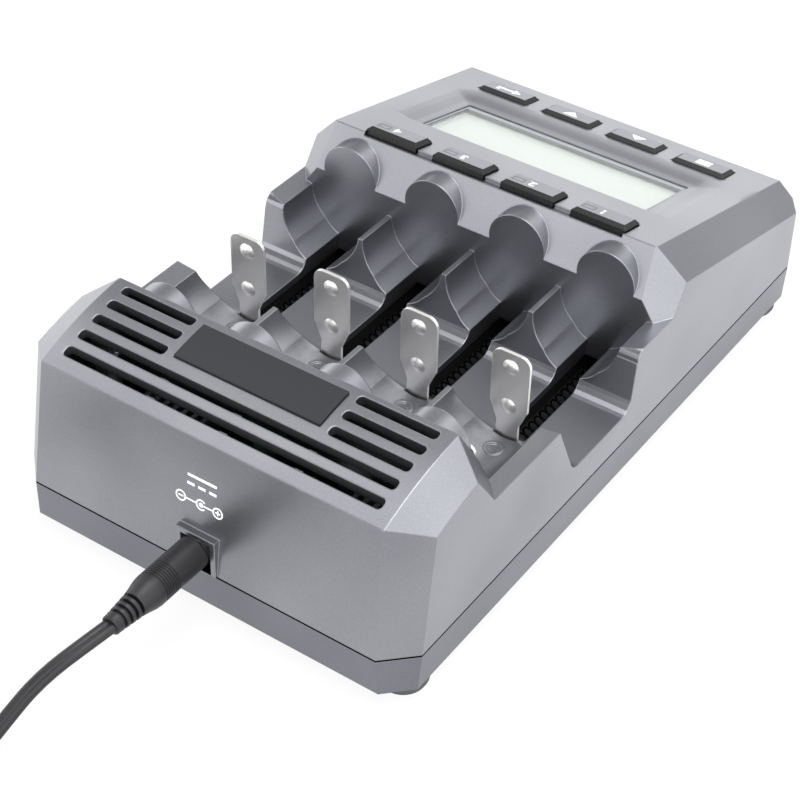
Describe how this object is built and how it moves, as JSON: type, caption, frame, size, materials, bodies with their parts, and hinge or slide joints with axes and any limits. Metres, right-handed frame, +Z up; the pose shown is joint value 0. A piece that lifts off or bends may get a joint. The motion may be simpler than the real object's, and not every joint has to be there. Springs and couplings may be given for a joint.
{
  "type": "battery charger",
  "caption": "Desktop charger for cylindrical cells: open bays with spring-loaded sliding contacts, a sloping display panel with keys, a vented supply end and a small DC lead.",
  "frame": {"origin": "centre of the case in plan, at the plane of the rubber feet", "axes": "X across the bays (bay 1 at -X), Y along the bays from the display and keys (-Y) to the supply end (+Y), Z up"},
  "size_m": [0.1307, 0.3042, 0.0549],
  "materials": {
    "shell_paint": "silver-grey metallic lacquer on moulded ABS",
    "shell_paint_base": "silver-grey lacquered ABS",
    "rubber": "moulded black rubber",
    "steel": "zinc-plated steel",
    "black_plate": "matt black moulded plate",
    "clear_window": "clear acrylic",
    "display": "pale display cell",
    "white_plastic": "white diffuser",
    "board": "green solder mask",
    "dark_plastic": "black moulded plastic",
    "components": "moulded component cases",
    "aluminium": "plain extruded aluminium",
    "lead_vinyl": "soft black vinyl",
    "nickel": "nickel-plated strip",
    "key_plastic": "satin black moulded keys"
  },
  "bodies": {
    "case": {"top_housing": "shell_paint", "base_housing": "shell_paint_base", "rubber_feet": "rubber", "case_screws": "steel", "board_screws": "steel", "bare_plate": "black_plate", "lcd_window": "clear_window", "lcd_glass_cell": "display", "lcd_backlight": "white_plastic", "key_board": "board", "key_switches": "dark_plastic", "slider_rails": "dark_plastic", "main_board": "board", "board_parts": "components", "heat_sink": "aluminium", "fan_frame": "dark_plastic", "dc_jack": "dark_plastic", "dc_plug_grip": "lead_vinyl", "dc_plug_barrel": "nickel", "supply_cord": "lead_vinyl", "cord_coil": "lead_vinyl", "cord_tail": "lead_vinyl", "cord_tie": "lead_vinyl", "inline_socket": "lead_vinyl", "return_spring_1": "steel", "fixed_contact_1": "nickel", "return_spring_2": "steel", "fixed_contact_2": "nickel", "return_spring_3": "steel", "fixed_contact_3": "nickel", "return_spring_4": "steel", "fixed_contact_4": "nickel"},
    "carriage_1": {"contact_blade_1": "nickel", "slider_1": "dark_plastic"},
    "carriage_2": {"contact_blade_2": "nickel", "slider_2": "dark_plastic"},
    "carriage_3": {"contact_blade_3": "nickel", "slider_3": "dark_plastic"},
    "carriage_4": {"contact_blade_4": "nickel", "slider_4": "dark_plastic"},
    "slot_key_1": {"slot_key_1": "key_plastic"},
    "slot_key_2": {"slot_key_2": "key_plastic"},
    "slot_key_3": {"slot_key_3": "key_plastic"},
    "slot_key_4": {"slot_key_4": "key_plastic"},
    "key_enter": {"key_enter": "key_plastic"},
    "key_up": {"key_up": "key_plastic"},
    "key_down": {"key_down": "key_plastic"},
    "key_stop": {"key_stop": "key_plastic"},
    "fan_rotor": {"fan_rotor": "dark_plastic"}
  },
  "joints": [
    {"name": "carriage_1_slide", "type": "slide", "parent": "case", "child": "carriage_1", "axis": [0, -1, 0], "range_m": [0, 0.0409], "stiffness_N_per_m": 25, "springref_m": -0.02, "deforming": ["return_spring_1"]},
    {"name": "carriage_2_slide", "type": "slide", "parent": "case", "child": "carriage_2", "axis": [0, -1, 0], "range_m": [0, 0.0409], "stiffness_N_per_m": 25, "springref_m": -0.02, "deforming": ["return_spring_2"]},
    {"name": "carriage_3_slide", "type": "slide", "parent": "case", "child": "carriage_3", "axis": [0, -1, 0], "range_m": [0, 0.0409], "stiffness_N_per_m": 25, "springref_m": -0.02, "deforming": ["return_spring_3"]},
    {"name": "carriage_4_slide", "type": "slide", "parent": "case", "child": "carriage_4", "axis": [0, -1, 0], "range_m": [0, 0.0409], "stiffness_N_per_m": 25, "springref_m": -0.02, "deforming": ["return_spring_4"]},
    {"name": "slot_key_1_press", "type": "slide", "parent": "case", "child": "slot_key_1", "axis": [0, 0.2429, -0.9701], "range_m": [0, 0.0006], "stiffness_N_per_m": 300, "springref_m": -0.0005},
    {"name": "slot_key_2_press", "type": "slide", "parent": "case", "child": "slot_key_2", "axis": [0, 0.2429, -0.9701], "range_m": [0, 0.0006], "stiffness_N_per_m": 300, "springref_m": -0.0005},
    {"name": "slot_key_3_press", "type": "slide", "parent": "case", "child": "slot_key_3", "axis": [0, 0.2429, -0.9701], "range_m": [0, 0.0006], "stiffness_N_per_m": 300, "springref_m": -0.0005},
    {"name": "slot_key_4_press", "type": "slide", "parent": "case", "child": "slot_key_4", "axis": [0, 0.2429, -0.9701], "range_m": [0, 0.0006], "stiffness_N_per_m": 300, "springref_m": -0.0005},
    {"name": "key_enter_press", "type": "slide", "parent": "case", "child": "key_enter", "axis": [0, 0.2429, -0.9701], "range_m": [0, 0.0006], "stiffness_N_per_m": 300, "springref_m": -0.0005},
    {"name": "key_up_press", "type": "slide", "parent": "case", "child": "key_up", "axis": [0, 0.2429, -0.9701], "range_m": [0, 0.0006], "stiffness_N_per_m": 300, "springref_m": -0.0005},
    {"name": "key_down_press", "type": "slide", "parent": "case", "child": "key_down", "axis": [0, 0.2429, -0.9701], "range_m": [0, 0.0006], "stiffness_N_per_m": 300, "springref_m": -0.0005},
    {"name": "key_stop_press", "type": "slide", "parent": "case", "child": "key_stop", "axis": [0, 0.2429, -0.9701], "range_m": [0, 0.0006], "stiffness_N_per_m": 300, "springref_m": -0.0005},
    {"name": "fan_spin", "type": "hinge", "parent": "case", "child": "fan_rotor", "pos_m": [0, 0.0671, 0.009], "axis": [0, 0, 1], "continuous": true}
  ]
}
